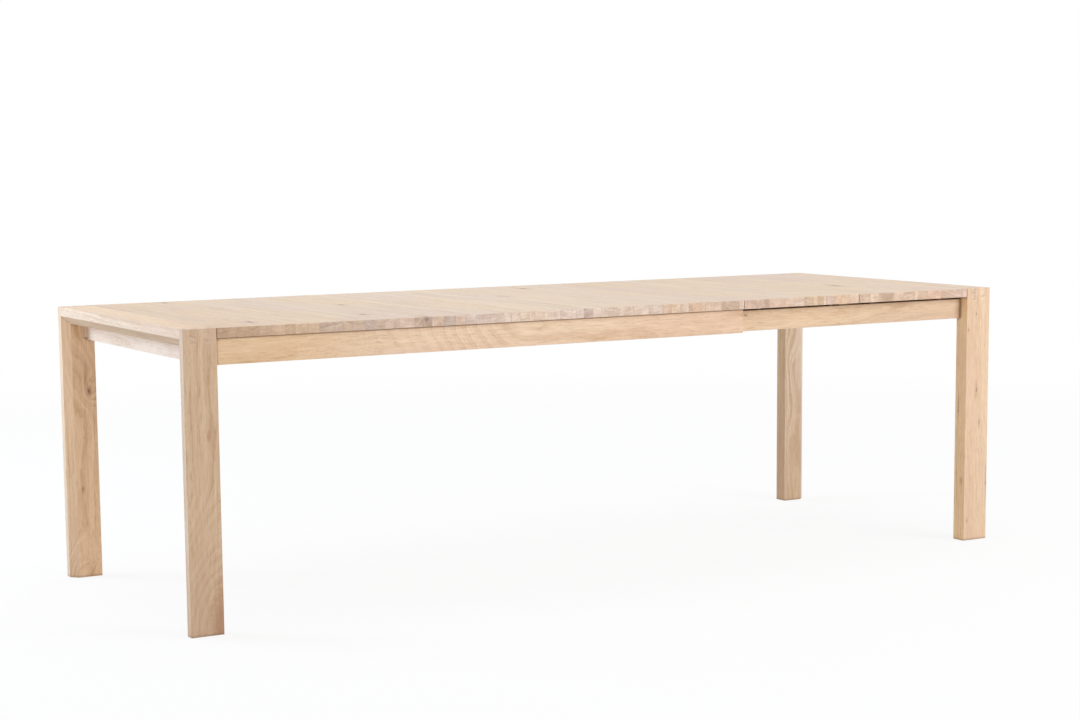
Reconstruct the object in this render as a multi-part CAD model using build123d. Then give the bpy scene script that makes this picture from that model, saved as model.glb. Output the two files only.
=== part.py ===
from build123d import *
import math
import os

# Extendable dining table in solid oak, drawn pulled out with both leaves in place.
# Millimetres. +Z is up, +X points to the end that pulls out, -Y is the front.
# The origin lies on the floor under the middle of the pulled-out table.

# ---- Overall sizes -------------------------------------------------------------------
closed_length = 1720.0        # over both end frames, leaves out
table_width = 930.0
table_height = 750.0
leaf_length = 400.0           # length that one leaf adds to the table
leaf_names = ("inner_leaf", "outer_leaf")
top_thickness = 25.0
seam_gap = 1.2                # between neighbouring boards of the top
edge_round = 1.2              # softened outer edges of the boards

# ---- End frames: two legs and a cross rail, finger-jointed at the corners ------------
frame_width = 86.0            # along X
frame_thickness = 45.0        # legs along Y, cross rail along Z
frame_edge = 24.0             # thickness left by the bevel at the outer end
bevel_width = 20.0            # bevel along X
finger_count = 5              # fingers across the frame: leg, rail, leg, rail, leg
finger_depth = 36.0           # rail fingers, down from the top face
finger_fit = 0.2              # glue line on each side of a finger
foot_chamfer = 1.0           # less than edge_round

# ---- Floor glides --------------------------------------------------------------------
glide_diameter = 24.0
glide_thickness = 3.0
glide_proud = 1.0             # how far a glide stands below its leg
glide_inset = 20.0            # glide centre from the outer side of the leg
glide_fit = 0.1               # radial play in the leg's recess

# ---- Long aprons under the fixed top -------------------------------------------------
apron_thickness = 22.0
apron_height = 65.0
apron_setback = 5.0           # behind the edge of the top
apron_tenon_length = 24.0
apron_tenon_height = 36.0
tenon_thickness = 10.0
tenon_relief = 1.0            # glue room past the end of every tenon

# ---- End aprons under the cross rails ------------------------------------------------
end_apron_thickness = 22.0
end_tenon_length = 19.0
end_tenon_height = 18.0
end_tenon_rise = 4.0          # above the apron's lower edge
glue_block_leg = 12.0         # legs of the triangular blocks beside the end aprons
glue_block_rise = 7.0         # above the apron's lower edge

# ---- Sliding rails of the pull-out end -----------------------------------------------
slider_thickness = 22.0
slider_height = 57.0
slider_drop = 6.5             # below the underside of the top
slider_length = 1500.0
slide_gap = 2.0               # between a long apron and the rail that slides behind it
slider_tenon_length = 20.0
slider_tenon_height = 22.0
extra_travel = 40.0           # pulls out this far past the leaves, to free them
wear_strip_length = 60.0
wear_strip_height = 30.0
wear_strip_play = 0.3         # between a wear strip and the wood that it guides
wear_strip_inset = 15.0       # from the end of the board that carries it

# ---- Guide rails and their tongues, inside the sliding rails -------------------------
guide_thickness = 22.0
guide_height = 45.0
guide_gap = 0.5               # between guide rail and sliding rail
guide_setback = 70.0          # guide rail ends this far before the end of the fixed top
tongue_thickness = 10.0
tongue_drop = 23.0            # upper side of the tongue below the underside of the top
tongue_root = 8.0             # held in the guide rail
tongue_reach = 8.5            # past the guide rail's face
tongue_length = 500.0
tongue_inset = 4.0            # tongue from the guide rail's free end
tongue_play = 0.3             # above and below the tongue in the sliding rail's groove
groove_relief = 1.0           # past the tongue's edge
groove_spare = 5.0            # left in the groove when the table is closed

# ---- Bearers across the underside of the fixed top -----------------------------------
bearer_count = 4
bearer_width = 60.0
bearer_height = 38.0
bearer_tenon_length = 9.0
bearer_tenon_height = 18.0
bearer_tenon_drop = 6.0       # below the underside of the top
bearer_inset = 25.0           # end bearers from the corner blocks and the guide rails' free ends

# ---- Tie between the inner ends of the sliding rails ---------------------------------
tie_width = 70.0
tie_thickness = 16.0
tie_inset = 20.0              # from the sliding rails' inner ends

# ---- Corner blocks -------------------------------------------------------------------
corner_block_leg = 60.0
corner_block_tip = 12.0       # width left at the two clipped tips
corner_block_height = 24.0
corner_block_drop = 1.0       # below the upper edge of the end apron
corner_screw_offset = 44.0    # screw axes from the block's square corner

# ---- Leaves --------------------------------------------------------------------------
batten_width = 40.0
batten_thickness = 18.0
batten_gap = 3.0              # between a leaf batten and the sliding rail beside it
batten_inset = 30.0           # batten ends from the leaf's long edges
peg_diameter = 8.0
peg_spacing = 250.0           # along X, two pegs in each sliding rail
peg_nose = 12.0               # into the sliding rail
peg_root = 14.0               # into the leaf
peg_collar_diameter = 14.0
peg_play = 0.3                # radial, in the sliding rail
peg_depth_play = 1.0          # under the nose

# ---- Dowels between the fixed top and the left cross rail ----------------------------
dowel_diameter = 10.0
dowel_length = 40.0
dowel_count = 6
dowel_inset = 45.0            # end dowels from the legs' inner faces
dowel_fit = 0.05              # radial

# ---- Wood screws: shank and head, all of one pattern ---------------------------------
screw_diameter = 4.5
screw_head_diameter = 9.0
screw_head_height = 3.0
screw_play = 0.15             # radial, round the shank
screw_head_play = 0.5         # radial, round the head
screw_tip_play = 1.0          # past the tip
bearer_screw_sink = 14.0      # head below the bearer's lower face
bearer_screw_grip = 18.0      # into the top
bearer_screw_count = 3
bearer_screw_inset = 100.0    # end screws from the guide rails
apron_screw_sink = 32.0
apron_screw_grip = 17.0
apron_screw_count = 5
apron_screw_inset = 90.0      # end screws from the ends of the long apron
tie_screw_sink = 5.0
tie_screw_grip = 32.0
tie_screw_spacing = 36.0
batten_screw_sink = 6.0
batten_screw_grip = 15.0
batten_screw_count = 3
batten_screw_inset = 40.0
corner_screw_sink = 8.0
corner_screw_grip = 14.0

# ---- Places worked out from the sizes ------------------------------------------------
leaf_count = len(leaf_names)
closing_travel = leaf_count * leaf_length
table_length = closed_length + closing_travel
left_end = -table_length / 2
left_frame_face = left_end + frame_width            # inner side of the left end frame
right_frame_face = table_length / 2 - frame_width   # inner side of the right end frame
front = -table_width / 2
top_underside = table_height - top_thickness
frame_inner = front + frame_thickness               # inner face of the front legs
rail_underside = table_height - frame_thickness
fixed_top_start = left_frame_face + seam_gap
fixed_top_end = right_frame_face - closing_travel
apron_bottom = top_underside - apron_height
apron_front = front + apron_setback
apron_back = apron_front + apron_thickness
slider_front = apron_back + slide_gap
slider_back = slider_front + slider_thickness
slider_middle = slider_front + slider_thickness / 2
slider_top = top_underside - slider_drop
slider_bottom = slider_top - slider_height
slider_start = right_frame_face - slider_length
guide_front = slider_back + guide_gap
guide_back = guide_front + guide_thickness
guide_end = fixed_top_end - guide_setback
tongue_end = guide_end - tongue_inset
tongue_start = tongue_end - tongue_length
tongue_top = top_underside - tongue_drop
tongue_bottom = tongue_top - tongue_thickness
bearer_bottom = top_underside - bearer_height
end_apron_left = left_frame_face - end_apron_thickness
corner_block_top = rail_underside - corner_block_drop
corner_block_middle = corner_block_top - corner_block_height / 2
leaf_panel_length = leaf_length - seam_gap * (leaf_count + 1) / leaf_count
far = 1.0                                           # how far a cutter overshoots a face


def block(x0, x1, y0, y1, z0, z1):
    """Square-edged board between six planes."""
    size = (x1 - x0, y1 - y0, z1 - z0)
    middle = Pos((x0 + x1) / 2, (y0 + y1) / 2, (z0 + z1) / 2)
    return middle * Box(*size)


def edges_along(shape, axis, keep):
    """Straight edges of a shape along an axis, whose midpoint passes the test."""
    return [edge for edge in shape.edges().filter_by(axis) if keep(edge @ 0.5)]


def softened(shape, edges):
    """The shape with the given edges rounded to the softened-edge radius."""
    return fillet(edges, edge_round)


def mirrored_back(shape):
    """The back twin of a piece made at the front."""
    return mirror(shape, about=Plane.XZ)


def mirrored_right(shape):
    """The right twin of a piece made at the left end frame."""
    return mirror(shape, about=Plane.YZ)


def spread(count, spacing):
    """Evenly spaced places about zero."""
    return [(i - (count - 1) / 2) * spacing for i in range(count)]


def spaced(count, first, last):
    """Evenly spaced places from the first to the last."""
    return [first + (last - first) * i / (count - 1) for i in range(count)]


def toward(direction, place):
    """Location at a place, whose local +Z looks along a direction."""
    return Plane(origin=place, z_dir=direction).location


def screw(seat, direction, length):
    """Wood screw whose head sits on a seat and whose shank runs along a direction."""
    radius = screw_diameter / 2
    head = screw_head_diameter / 2
    crown = screw_head_height
    half = Polyline(
        (0, -crown),
        (head * 0.6, -crown),
        (head, -crown * 0.4),
        (head, 0),
        (radius, 0),
        (radius, length - radius),
        (0, length),
        (0, -crown),
    )
    turned = revolve(make_face(Plane.XZ * half), Axis.Z)
    return toward(direction, seat) * turned


def screw_hole(seat, direction, length, sink):
    """Cutter for a screw: clearance round the shank and a counterbore back to the surface."""
    shank = Cylinder(
        screw_diameter / 2 + screw_play,
        length + screw_tip_play,
        align=(Align.CENTER, Align.CENTER, Align.MIN),
    )
    bore = Cylinder(
        screw_head_diameter / 2 + screw_head_play,
        sink + far,
        align=(Align.CENTER, Align.CENTER, Align.MAX),
    )
    return toward(direction, seat) * (shank + bore)


def cut_all(shape, cutters):
    """The shape less every cutter in a list."""
    for cutter in cutters:
        shape = shape - cutter
    return shape


# ---- End frames ----------------------------------------------------------------------
def frame_section():
    """Bevelled section of legs and cross rail: width on the first axis, thickness on the second."""
    return Polyline(
        (0, 0),
        (frame_width, 0),
        (frame_width, frame_thickness),
        (bevel_width, frame_thickness),
        (0, frame_edge),
        close=True,
    )


def leg_blank():
    """Front left leg, square at the top, from the floor glide up to the top face."""
    foot = Plane(origin=(left_end, front, glide_proud))
    return extrude(foot * make_face(frame_section()), table_height - glide_proud)


def rail_blank():
    """Left cross rail over the full width of the table."""
    side = Plane(origin=(left_end, front, table_height), x_dir=(1, 0, 0), z_dir=(0, 1, 0))
    return extrude(side * make_face(frame_section()), table_width)


def finger_sockets():
    """Spaces in the front left leg that the cross rail's fingers fill."""
    pitch = frame_width / finger_count
    sockets = []
    for i in range(1, finger_count, 2):
        start = left_end + i * pitch
        sockets.append(block(start, start + pitch, front - far, frame_inner + far,
                             table_height - finger_depth, table_height + far))
    return sockets


def finger_glue_lines():
    """Thin slots on both sides of every finger of the cross rail, at the front."""
    slots = []
    for socket in finger_sockets():
        box = socket.bounding_box()
        for start in (box.min.X, box.max.X - finger_fit):
            slots.append(block(start, start + finger_fit, box.min.Y, box.max.Y,
                               box.min.Z, box.max.Z))
    return slots


def frame_corner_edges(frame):
    """Outer edges of a portal frame that the maker softens: uprights, top and front."""
    top_edges = [edge for edge in frame.edges() if (edge @ 0.5).Z > table_height - 0.01]
    side = table_width / 2 - 0.01
    uprights = edges_along(frame, Axis.Z, lambda middle: abs(middle.Y) > side)
    return top_edges + uprights


def left_frame():
    """Front leg, back leg and cross rail of the left end frame, cut from one bevelled portal."""
    front_leg = leg_blank()
    portal = front_leg + mirrored_back(front_leg) + rail_blank()
    portal = softened(portal, frame_corner_edges(portal))
    leg = cut_all(portal & front_leg, finger_sockets())
    rail = portal - leg - mirrored_back(leg)
    slots = finger_glue_lines()
    rail = cut_all(rail, slots + [mirrored_back(slot) for slot in slots])
    feet = leg.edges().group_by(Axis.Z)[0]
    return chamfer(feet, foot_chamfer), rail


def glide(x, y):
    """Round plastic glide let into the foot of a leg."""
    lower = fillet(Cylinder(glide_diameter / 2, glide_thickness).edges().sort_by(Axis.Z)[0], 0.8)
    return Pos(x, y, glide_thickness / 2) * lower


def glide_recess(x, y):
    """Cutter for the recess that a glide is let into."""
    return Pos(x, y, 0) * Cylinder(
        glide_diameter / 2 + glide_fit,
        glide_thickness,
        align=(Align.CENTER, Align.CENTER, Align.MIN),
    )


def end_apron_tenon(relief):
    """Tenon of the left end apron in the front leg, longer by a relief when it is a cutter."""
    middle = left_frame_face - end_apron_thickness / 2
    low = apron_bottom + end_tenon_rise
    return block(middle - tenon_thickness / 2, middle + tenon_thickness / 2,
                 frame_inner - end_tenon_length - relief, frame_inner,
                 low, low + end_tenon_height)


def end_apron():
    """Left end apron: fills the space between the legs under the cross rail."""
    board = block(end_apron_left, left_frame_face, frame_inner, -frame_inner,
                  apron_bottom, rail_underside)
    lower = edges_along(board, Axis.Y, lambda middle: middle.Z < apron_bottom + 0.01)
    board = softened(board, lower)
    tenon = end_apron_tenon(0)
    return board + tenon + mirrored_back(tenon)


def glue_block():
    """Triangular block in the corner of front leg and left end apron, under the cross rail."""
    corner = Plane(origin=(end_apron_left, frame_inner, apron_bottom + glue_block_rise))
    outline = Polyline((0, 0), (-glue_block_leg, 0), (0, glue_block_leg), close=True)
    height = rail_underside - apron_bottom - glue_block_rise
    return extrude(corner * make_face(outline), height)


# ---- Long aprons ---------------------------------------------------------------------
def apron_tenon(relief):
    """Tenon of the front long apron in the front left leg."""
    middle = apron_front + apron_thickness / 2
    z_middle = (apron_bottom + rail_underside) / 2
    return block(left_frame_face - apron_tenon_length - relief, left_frame_face,
                 middle - tenon_thickness / 2, middle + tenon_thickness / 2,
                 z_middle - apron_tenon_height / 2, z_middle + apron_tenon_height / 2)


def apron_screw_places():
    """Seats of the screws that hold the front long apron up against the top."""
    first = left_frame_face + apron_screw_inset
    last = fixed_top_end - apron_screw_inset
    middle = apron_front + apron_thickness / 2
    seat = apron_bottom + apron_screw_sink
    return [(x, middle, seat) for x in spaced(apron_screw_count, first, last)]


apron_screw_length = top_underside - apron_bottom - apron_screw_sink + apron_screw_grip
apron_screws = [screw(seat, (0, 0, 1), apron_screw_length) for seat in apron_screw_places()]
apron_screw_holes = [screw_hole(seat, (0, 0, 1), apron_screw_length, apron_screw_sink)
                     for seat in apron_screw_places()]


def long_apron():
    """Front long apron, tenoned into the left leg and free at the end of the fixed top."""
    board = block(left_frame_face, fixed_top_end, apron_front, apron_back,
                  apron_bottom, top_underside)
    lower = edges_along(board, Axis.X, lambda middle: middle.Z < apron_bottom + 0.01)
    free_end = edges_along(board, Axis.Z, lambda middle: middle.X > fixed_top_end - 0.01)
    board = softened(board, lower + free_end)
    return cut_all(board + apron_tenon(0), apron_screw_holes)


def apron_wear_strip():
    """Plastic strip inside the free end of the front apron, beside the sliding rail."""
    end = fixed_top_end - wear_strip_inset
    middle = (slider_bottom + slider_top) / 2
    return block(end - wear_strip_length, end, apron_back, slider_front - wear_strip_play,
                 middle - wear_strip_height / 2, middle + wear_strip_height / 2)


def slider_wear_strip():
    """Plastic strip outside the inner end of the front sliding rail, beside the apron."""
    start = slider_start + wear_strip_inset
    middle = (slider_bottom + slider_top) / 2
    return block(start, start + wear_strip_length, apron_back + wear_strip_play, slider_front,
                 middle - wear_strip_height / 2, middle + wear_strip_height / 2)


# ---- Guide rails, tongues and bearers ------------------------------------------------
def bearer_places():
    """Middles of the cross bearers along X."""
    inset = bearer_inset + bearer_width / 2
    return spaced(bearer_count, left_frame_face + corner_block_leg + inset, guide_end - inset)


def bearer_tenon(x, relief):
    """Stub tenon of a bearer in the front guide rail."""
    top = top_underside - bearer_tenon_drop
    half = bearer_width / 2 - bearer_tenon_drop
    return block(x - half, x + half, guide_back - bearer_tenon_length - relief, guide_back,
                 top - bearer_tenon_height, top)


def bearer_screw_seats(x):
    """Seats of the screws that hold the top down on a bearer."""
    first = guide_back + bearer_screw_inset
    return [(x, y, bearer_bottom + bearer_screw_sink)
            for y in spaced(bearer_screw_count, first, -first)]


bearer_screw_length = bearer_height - bearer_screw_sink + bearer_screw_grip
bearer_seats = [seat for x in bearer_places() for seat in bearer_screw_seats(x)]
bearer_screws = [screw(seat, (0, 0, 1), bearer_screw_length) for seat in bearer_seats]


def bearer_holes(seats):
    """Cutters for the screws on a list of seats in the bearers."""
    return [screw_hole(seat, (0, 0, 1), bearer_screw_length, bearer_screw_sink) for seat in seats]


def bearer(x):
    """Cross bearer under the fixed top, between the two guide rails."""
    board = block(x - bearer_width / 2, x + bearer_width / 2, guide_back, -guide_back,
                  bearer_bottom, top_underside)
    tenon = bearer_tenon(x, 0)
    return cut_all(board + tenon + mirrored_back(tenon), bearer_holes(bearer_screw_seats(x)))


def tongue():
    """Hardwood tongue that carries and guides the front sliding rail."""
    strip = block(tongue_start, tongue_end, guide_front - tongue_reach,
                  guide_front + tongue_root, tongue_bottom, tongue_top)
    outer = edges_along(strip, Axis.X, lambda middle: middle.Y < guide_front)
    return chamfer(outer, tongue_play * 2)


def guide_rail():
    """Front guide rail: grooved outside for the tongue and mortised inside for the bearers."""
    board = block(left_frame_face, guide_end, guide_front, guide_back,
                  top_underside - guide_height, top_underside)
    groove = block(tongue_start, tongue_end, guide_front - far, guide_front + tongue_root,
                   tongue_bottom, tongue_top)
    mortises = [bearer_tenon(x, tenon_relief) for x in bearer_places()]
    return cut_all(board, [groove, left_corner_screw_holes()[1]] + mortises)


# ---- Corner blocks -------------------------------------------------------------------
def corner_block_outline():
    """Triangle with clipped tips, its square corner at the origin."""
    leg = corner_block_leg
    tip = corner_block_tip
    return Polyline((0, 0), (leg, 0), (leg, tip), (tip, leg), (0, leg), close=True)


def corner_slope(offset):
    """Distance from a block's square side to its sloping face, at an offset along the side."""
    return corner_block_leg + corner_block_tip - offset


def corner_screw_run():
    """Length of a corner screw: from its seat in the block into the board behind."""
    return corner_slope(corner_screw_offset) - corner_screw_sink + corner_screw_grip


def left_corner_seats():
    """Seat and direction of the two screws in the front left corner block."""
    reach = corner_slope(corner_screw_offset) - corner_screw_sink
    to_apron = ((left_frame_face + reach, guide_back + corner_screw_offset, corner_block_middle),
                (-1, 0, 0))
    to_guide = ((left_frame_face + corner_screw_offset, guide_back + reach, corner_block_middle),
                (0, -1, 0))
    return to_apron, to_guide


def left_corner_screw_holes():
    """Cutters for the two screws in the front left corner block."""
    return [screw_hole(seat, way, corner_screw_run(), corner_screw_sink + corner_block_leg)
            for seat, way in left_corner_seats()]


def left_corner_block():
    """Front left corner block, between the left end apron and the guide rail."""
    floor = Plane(origin=(left_frame_face, guide_back, corner_block_top - corner_block_height))
    body = extrude(floor * make_face(corner_block_outline()), corner_block_height)
    return cut_all(body, left_corner_screw_holes())


def right_corner_seats():
    """Seat and direction of the two screws in the front right corner block."""
    reach = corner_slope(corner_screw_offset) - corner_screw_sink
    to_apron = ((right_frame_face - reach, slider_back + corner_screw_offset, corner_block_middle),
                (1, 0, 0))
    to_slider = ((right_frame_face - corner_screw_offset, slider_back + reach, corner_block_middle),
                 (0, -1, 0))
    return to_apron, to_slider


def right_corner_screw_holes():
    """Cutters for the two screws in the front right corner block."""
    return [screw_hole(seat, way, corner_screw_run(), corner_screw_sink + corner_block_leg)
            for seat, way in right_corner_seats()]


def right_corner_block():
    """Front right corner block, between the right end apron and the sliding rail."""
    floor = Plane(origin=(right_frame_face, slider_back, corner_block_top - corner_block_height))
    outline = mirror(make_face(corner_block_outline()), about=Plane.YZ)
    return cut_all(extrude(floor * outline, corner_block_height), right_corner_screw_holes())


def corner_screws(seats):
    """The two screws of a corner block."""
    return [screw(seat, way, corner_screw_run()) for seat, way in seats]


# ---- Sliding rails and their tie -----------------------------------------------------
def slider_tenon(relief):
    """Tenon of the front sliding rail in the front right leg."""
    middle = (slider_front + frame_inner) / 2
    low = apron_bottom + end_tenon_rise + end_tenon_height + tenon_relief
    return block(right_frame_face, right_frame_face + slider_tenon_length + relief,
                 middle - tenon_thickness / 2, middle + tenon_thickness / 2,
                 low, low + slider_tenon_height)


def slider_groove():
    """Stopped groove: its inner end meets the tongue when the table is pulled out too far."""
    return block(tongue_start - extra_travel, tongue_end + closing_travel + groove_spare,
                 guide_front - tongue_reach - groove_relief, slider_back + far,
                 tongue_bottom - tongue_play, tongue_top + tongue_play)


def tie_screw_seats():
    """Seats of the screws from the front sliding rail into the tie."""
    middle = slider_start + tie_inset + tie_width / 2
    return [(middle + dx, slider_front + tie_screw_sink, slider_bottom + tie_thickness / 2)
            for dx in spread(2, tie_screw_spacing)]


tie_screw_length = slider_thickness - tie_screw_sink + tie_screw_grip


def tie_screw_holes():
    """Cutters for the screws from the front sliding rail into the tie."""
    return [screw_hole(seat, (0, 1, 0), tie_screw_length, tie_screw_sink)
            for seat in tie_screw_seats()]


def slider_tie():
    """Board that joins the inner ends of the two sliding rails, under the guide rails."""
    start = slider_start + tie_inset
    board = block(start, start + tie_width, slider_back, -slider_back,
                  slider_bottom, slider_bottom + tie_thickness)
    holes = tie_screw_holes()
    return cut_all(board, holes + [mirrored_back(hole) for hole in holes])


def leaf_start(i):
    """Left edge of a leaf, counted from the fixed top."""
    return fixed_top_end + seam_gap + i * (leaf_panel_length + seam_gap)


def peg_places():
    """Places of the front pegs of every leaf along X, leaf by leaf."""
    return [[leaf_start(i) + leaf_panel_length / 2 + dx for dx in spread(2, peg_spacing)]
            for i in range(leaf_count)]


def peg_hole(x):
    """Cutter for the hole in the front sliding rail that takes a leaf's peg."""
    return Pos(x, slider_middle, slider_top + far) * Cylinder(
        peg_diameter / 2 + peg_play,
        peg_nose + peg_depth_play + far,
        align=(Align.CENTER, Align.CENTER, Align.MAX),
    )


def sliding_rail():
    """Front sliding rail: carries the leaves and slides between apron and guide rail."""
    board = block(slider_start, right_frame_face, slider_front, slider_back,
                  slider_bottom, slider_top)
    board = softened(board, edges_along(board, Axis.X, lambda middle: middle.Y < slider_middle))
    board = board + slider_tenon(0)
    pegs = [peg_hole(x) for places in peg_places() for x in places]
    screws = tie_screw_holes() + [right_corner_screw_holes()[1]]
    return cut_all(board, [slider_groove()] + pegs + screws)


# ---- Leaves --------------------------------------------------------------------------
def peg(x):
    """Turned peg under a leaf: root in the leaf, collar on the sliding rail, nose in its hole."""
    radius = peg_diameter / 2
    collar = peg_collar_diameter / 2
    tip = radius / 2
    half = Polyline(
        (0, -peg_nose),
        (radius - tip, -peg_nose),
        (radius, -peg_nose + tip),
        (radius, 0),
        (collar, 0),
        (collar, slider_drop),
        (radius, slider_drop),
        (radius, slider_drop + peg_root),
        (0, slider_drop + peg_root),
        (0, -peg_nose),
    )
    turned = revolve(make_face(Plane.XZ * half), Axis.Z)
    return Pos(x, slider_middle, slider_top) * turned


def peg_socket(x):
    """Cutter for the blind hole in a leaf that a peg's root is glued into."""
    return Pos(x, slider_middle, top_underside - far) * Cylinder(
        peg_diameter / 2 + dowel_fit,
        peg_root + peg_depth_play + far,
        align=(Align.CENTER, Align.CENTER, Align.MIN),
    )


def batten_screw_seats(start):
    """Seats of the screws in the front batten of a leaf."""
    inset = batten_inset + batten_screw_inset
    middle = slider_back + batten_gap + batten_width / 2
    seat = top_underside - batten_thickness + batten_screw_sink
    return [(x, middle, seat)
            for x in spaced(batten_screw_count, start + inset, start + leaf_panel_length - inset)]


batten_screw_length = batten_thickness - batten_screw_sink + batten_screw_grip


def batten_screw_holes(start):
    """Cutters for the screws in the front batten of a leaf."""
    return [screw_hole(seat, (0, 0, 1), batten_screw_length, batten_screw_sink)
            for seat in batten_screw_seats(start)]


def batten(start):
    """Front batten of a leaf, just inside the sliding rail, across the boards of the leaf."""
    edge = slider_back + batten_gap
    board = block(start + batten_inset, start + leaf_panel_length - batten_inset,
                  edge, edge + batten_width, top_underside - batten_thickness, top_underside)
    ends = edges_along(board, Axis.Y, lambda middle: middle.Z < top_underside - 0.01)
    board = chamfer(ends, batten_thickness / 3)
    return cut_all(board, batten_screw_holes(start))


def panel(start, end):
    """Board of the top with all its edges softened."""
    board = block(start, end, front, -front, top_underside, table_height)
    return softened(board, board.edges())


def leaf_panel(i):
    """Loose leaf, bored underneath for its pegs and batten screws."""
    start = leaf_start(i)
    cutters = [peg_socket(x) for x in peg_places()[i]] + batten_screw_holes(start)
    return cut_all(panel(start, start + leaf_panel_length),
                   cutters + [mirrored_back(cutter) for cutter in cutters])


# ---- Fixed top -----------------------------------------------------------------------
def dowel_spot(y):
    """Middle of a dowel in the seam between the left cross rail and the fixed top."""
    return (left_frame_face + seam_gap / 2, y, table_height - top_thickness / 2)


def dowel(y):
    """Fluted beech dowel, drawn plain."""
    pin = Cylinder(dowel_diameter / 2, dowel_length)
    pin = chamfer(pin.edges().filter_by(GeomType.CIRCLE), 1.0)
    return toward((1, 0, 0), dowel_spot(y)) * pin


def dowel_hole(y):
    """Cutter for a dowel, with room past both ends."""
    return toward((1, 0, 0), dowel_spot(y)) * Cylinder(
        dowel_diameter / 2 + dowel_fit, dowel_length + 2 * tenon_relief)


dowel_places = spaced(dowel_count, frame_inner + dowel_inset, -frame_inner - dowel_inset)
dowel_holes = [dowel_hole(y) for y in dowel_places]


def fixed_top():
    """Fixed board of the top, from the left cross rail to the first leaf."""
    twins = [mirrored_back(hole) for hole in apron_screw_holes]
    return cut_all(panel(fixed_top_start, fixed_top_end),
                   bearer_holes(bearer_seats) + apron_screw_holes + twins + dowel_holes)


# ---- Assembly ------------------------------------------------------------------------
def both(piece):
    """A front piece with its back twin."""
    return [piece, mirrored_back(piece)]


def write(name, *pieces):
    """Write one node: every piece stays a solid of its own."""
    solids = [solid for piece in pieces for solid in piece.solids()]
    export_step(Compound(children=solids), f"parts/{name}.step")


os.makedirs("parts", exist_ok=True)

leg, cross_rail = left_frame()
glide_x = left_end + frame_width / 2
glide_y = front + glide_inset
left_leg = leg - apron_tenon(tenon_relief) - end_apron_tenon(tenon_relief)
left_leg = left_leg - glide_recess(glide_x, glide_y)
right_leg = mirrored_right(leg - end_apron_tenon(tenon_relief)) - slider_tenon(tenon_relief)
right_leg = right_leg - glide_recess(-glide_x, glide_y)
left_glide = glide(glide_x, glide_y)
left_apron_holes = [left_corner_screw_holes()[0], mirrored_back(left_corner_screw_holes()[0])]
right_apron_holes = [right_corner_screw_holes()[0], mirrored_back(right_corner_screw_holes()[0])]

# Fixed table.
write("left_front_leg", left_leg)
write("left_back_leg", mirrored_back(left_leg))
write("left_cross_rail", cut_all(cross_rail, dowel_holes))
write("left_end_apron", cut_all(end_apron(), left_apron_holes))
write("left_glue_blocks", *both(glue_block()))
write("left_glides", *both(left_glide))
write("fixed_top", fixed_top())
write("top_dowels", *[dowel(y) for y in dowel_places])
write("front_apron", long_apron())
write("back_apron", mirrored_back(long_apron()))
write("apron_screws", *apron_screws, *[mirrored_back(piece) for piece in apron_screws])
write("apron_wear_strips", *both(apron_wear_strip()))
write("front_guide_rail", guide_rail())
write("back_guide_rail", mirrored_back(guide_rail()))
write("front_tongue", tongue())
write("back_tongue", mirrored_back(tongue()))
for number, place in enumerate(bearer_places(), start=1):
    write(f"top_bearer_{number}", bearer(place))
write("bearer_screws", *bearer_screws)
write("left_corner_blocks", *both(left_corner_block()))
left_corner_screws = corner_screws(left_corner_seats())
write("left_corner_screws", *left_corner_screws, *[mirrored_back(s) for s in left_corner_screws])

# Pull-out end.
write("right_front_leg", right_leg)
write("right_back_leg", mirrored_back(right_leg))
write("right_cross_rail", mirrored_right(cross_rail))
write("right_end_apron", cut_all(mirrored_right(end_apron()), right_apron_holes))
write("right_glue_blocks", *both(mirrored_right(glue_block())))
write("right_glides", *both(mirrored_right(left_glide)))
write("front_sliding_rail", sliding_rail())
write("back_sliding_rail", mirrored_back(sliding_rail()))
write("slider_wear_strips", *both(slider_wear_strip()))
write("slider_tie", slider_tie())
tie_screws = [screw(seat, (0, 1, 0), tie_screw_length) for seat in tie_screw_seats()]
write("tie_screws", *tie_screws, *[mirrored_back(piece) for piece in tie_screws])
write("right_corner_blocks", *both(right_corner_block()))
right_corner_screws = corner_screws(right_corner_seats())
write("right_corner_screws", *right_corner_screws, *[mirrored_back(s) for s in right_corner_screws])

# Leaves.
for number, name in enumerate(leaf_names):
    start = leaf_start(number)
    pegs = [peg(x) for x in peg_places()[number]]
    seats = batten_screw_seats(start)
    screws = [screw(seat, (0, 0, 1), batten_screw_length) for seat in seats]
    write(f"{name}_panel", leaf_panel(number))
    write(f"{name}_battens", *both(batten(start)))
    write(f"{name}_pegs", *pegs, *[mirrored_back(piece) for piece in pegs])
    write(f"{name}_screws", *screws, *[mirrored_back(piece) for piece in screws])
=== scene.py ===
"""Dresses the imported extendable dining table: oak, plank tops, screws, studio and camera."""

import logging
import math
from collections.abc import Iterable, Sequence
from dataclasses import dataclass, replace
from enum import Enum
from functools import cache, reduce

import bmesh
import bpy
from mathutils import Matrix, Vector


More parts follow.
